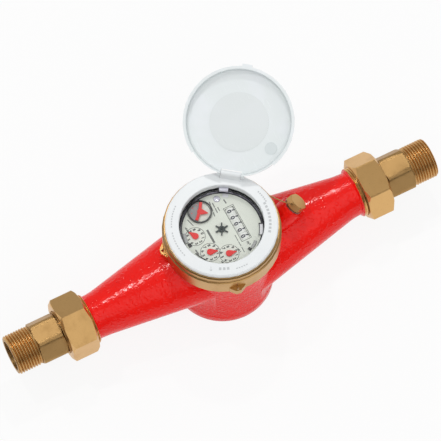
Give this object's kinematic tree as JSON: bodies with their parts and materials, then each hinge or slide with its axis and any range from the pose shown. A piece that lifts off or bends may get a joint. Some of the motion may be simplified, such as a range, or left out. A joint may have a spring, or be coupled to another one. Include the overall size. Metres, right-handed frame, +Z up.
{
  "type": "water meter",
  "caption": "Red brass multi-jet water meter with a union at each end, a round dial under glass and a hinged white lid, standing open.",
  "frame": {"origin": "centre of the cup's flat foot, on the cup's axis", "axes": "+X along the pipe line towards the inlet, +Z up the cup's axis"},
  "size_m": [0.378, 0.1551, 0.1474],
  "materials": {
    "meter_body": "glossy red paint with orange peel",
    "head_ring": "dull turned brass",
    "regulator_plug": "turned brass",
    "regulator_washer": "dull metal",
    "regulating_screw": "turned brass",
    "seal_wire": "drawn wire",
    "union_nut_inlet": "bright turned brass",
    "union_nut_outlet": "bright turned brass",
    "tail_piece_inlet": "bright turned brass",
    "tail_piece_outlet": "bright turned brass",
    "tail_gasket_inlet": "matt",
    "tail_gasket_outlet": "matt",
    "inlet_strainer": "moulded",
    "measuring_chamber": "moulded",
    "chamber_cover": "moulded",
    "turbine_pivot": "ground",
    "turbine_wheel": "moulded",
    "drive_magnet": "sintered",
    "head_gasket": "matt",
    "pressure_plate": "moulded",
    "slip_ring": "smooth",
    "register_cup": "smooth",
    "register_window": "clear, polished",
    "dial_bezel": "smooth",
    "well_ring": "smooth",
    "dial_plate": "printed, satin",
    "movement_plate": "moulded",
    "drum_shaft": "ground",
    "star_wheel": "smooth",
    "star_spindle": "ground",
    "follower_magnet": "sintered",
    "pulse_disc": "printed",
    "cover_ring": "smooth moulded",
    "hinge_pin": "ground",
    "lid": "smooth moulded",
    "pointer_1": "smooth",
    "pointer_spindle_1": "ground",
    "pointer_2": "smooth",
    "pointer_spindle_2": "ground",
    "pointer_3": "smooth",
    "pointer_spindle_3": "ground",
    "pointer_4": "smooth",
    "pointer_spindle_4": "ground",
    "number_drum_1": "printed",
    "number_drum_2": "printed",
    "number_drum_3": "printed",
    "number_drum_4": "printed",
    "number_drum_5": "printed"
  },
  "bodies": {
    "meter": {"meter_body": "meter_body", "head_ring": "head_ring", "regulator_plug": "regulator_plug", "regulator_washer": "regulator_washer", "regulating_screw": "regulating_screw", "seal_wire": "seal_wire", "union_nut_inlet": "union_nut_inlet", "union_nut_outlet": "union_nut_outlet", "tail_piece_inlet": "tail_piece_inlet", "tail_piece_outlet": "tail_piece_outlet", "tail_gasket_inlet": "tail_gasket_inlet", "tail_gasket_outlet": "tail_gasket_outlet", "inlet_strainer": "inlet_strainer", "measuring_chamber": "measuring_chamber", "chamber_cover": "chamber_cover", "turbine_pivot": "turbine_pivot", "head_gasket": "head_gasket", "pressure_plate": "pressure_plate", "slip_ring": "slip_ring"},
    "turbine": {"turbine_wheel": "turbine_wheel", "drive_magnet": "drive_magnet"},
    "register": {"register_cup": "register_cup", "register_window": "register_window", "dial_bezel": "dial_bezel", "well_ring": "well_ring", "dial_plate": "dial_plate", "movement_plate": "movement_plate", "drum_shaft": "drum_shaft"},
    "star": {"star_wheel": "star_wheel", "star_spindle": "star_spindle", "follower_magnet": "follower_magnet"},
    "pointer_1": {"pointer_1": "pointer_1", "pointer_spindle_1": "pointer_spindle_1", "pulse_disc": "pulse_disc"},
    "pointer_2": {"pointer_2": "pointer_2", "pointer_spindle_2": "pointer_spindle_2"},
    "pointer_3": {"pointer_3": "pointer_3", "pointer_spindle_3": "pointer_spindle_3"},
    "pointer_4": {"pointer_4": "pointer_4", "pointer_spindle_4": "pointer_spindle_4"},
    "drum_1": {"number_drum_1": "number_drum_1"},
    "drum_2": {"number_drum_2": "number_drum_2"},
    "drum_3": {"number_drum_3": "number_drum_3"},
    "drum_4": {"number_drum_4": "number_drum_4"},
    "drum_5": {"number_drum_5": "number_drum_5"},
    "cover": {"cover_ring": "cover_ring", "hinge_pin": "hinge_pin"},
    "lid": {"lid": "lid"}
  },
  "joints": [
    {"name": "turbine_spin", "type": "hinge", "parent": "meter", "child": "turbine", "pos_m": [0, 0, 0.03], "axis": [0, 0, 1], "continuous": true},
    {"name": "register_turn", "type": "hinge", "parent": "meter", "child": "register", "pos_m": [0, 0, 0.09], "axis": [0, 0, 1], "range_deg": [-175, 175]},
    {"name": "cover_turn", "type": "hinge", "parent": "meter", "child": "cover", "pos_m": [0, 0, 0.1], "axis": [0, 0, 1], "continuous": true},
    {"name": "lid_open", "type": "hinge", "parent": "cover", "child": "lid", "pos_m": [0.02533, 0.03325, 0.1066], "axis": [-0.7955, 0.606, 0], "range_deg": [-155, 0]},
    {"name": "star_spin", "type": "hinge", "parent": "register", "child": "star", "pos_m": [0, 0, 0.08], "axis": [0, 0, 1], "continuous": true},
    {"name": "pointer_1_spin", "type": "hinge", "parent": "register", "child": "pointer_1", "pos_m": [-0.00858, 0.02123, 0.09], "axis": [0, 0, 1], "continuous": true},
    {"name": "pointer_2_spin", "type": "hinge", "parent": "register", "child": "pointer_2", "pos_m": [-0.0213, 0.00414, 0.09], "axis": [0, 0, 1], "continuous": true},
    {"name": "pointer_3_spin", "type": "hinge", "parent": "register", "child": "pointer_3", "pos_m": [-0.0171, -0.01336, 0.09], "axis": [0, 0, 1], "continuous": true},
    {"name": "pointer_4_spin", "type": "hinge", "parent": "register", "child": "pointer_4", "pos_m": [-0.00436, -0.02126, 0.09], "axis": [0, 0, 1], "continuous": true},
    {"name": "drum_1_roll", "type": "hinge", "parent": "register", "child": "drum_1", "pos_m": [0.0136, -0.0127, 0.0843], "axis": [0, 1, 0], "continuous": true},
    {"name": "drum_2_roll", "type": "hinge", "parent": "register", "child": "drum_2", "pos_m": [0.0136, -0.0067, 0.0843], "axis": [0, 1, 0], "continuous": true},
    {"name": "drum_3_roll", "type": "hinge", "parent": "register", "child": "drum_3", "pos_m": [0.0136, -0.0007, 0.0843], "axis": [0, 1, 0], "continuous": true},
    {"name": "drum_4_roll", "type": "hinge", "parent": "register", "child": "drum_4", "pos_m": [0.0136, 0.0053, 0.0843], "axis": [0, 1, 0], "continuous": true},
    {"name": "drum_5_roll", "type": "hinge", "parent": "register", "child": "drum_5", "pos_m": [0.0136, 0.0113, 0.0843], "axis": [0, 1, 0], "continuous": true}
  ],
  "couplings": [
    {"joint": "star_spin", "follows": "turbine_spin", "ratio": 1},
    {"joint": "pointer_1_spin", "follows": "turbine_spin", "ratio": 0.1},
    {"joint": "pointer_2_spin", "follows": "turbine_spin", "ratio": 0.01},
    {"joint": "pointer_3_spin", "follows": "turbine_spin", "ratio": 0.001},
    {"joint": "pointer_4_spin", "follows": "turbine_spin", "ratio": 0.0001},
    {"joint": "drum_1_roll", "follows": "turbine_spin", "ratio": 0.00001},
    {"joint": "drum_2_roll", "follows": "turbine_spin", "ratio": 0.000001},
    {"joint": "drum_3_roll", "follows": "turbine_spin", "ratio": 0.0000001},
    {"joint": "drum_4_roll", "follows": "turbine_spin", "ratio": 0.00000001},
    {"joint": "drum_5_roll", "follows": "turbine_spin", "ratio": 0.000000001}
  ]
}
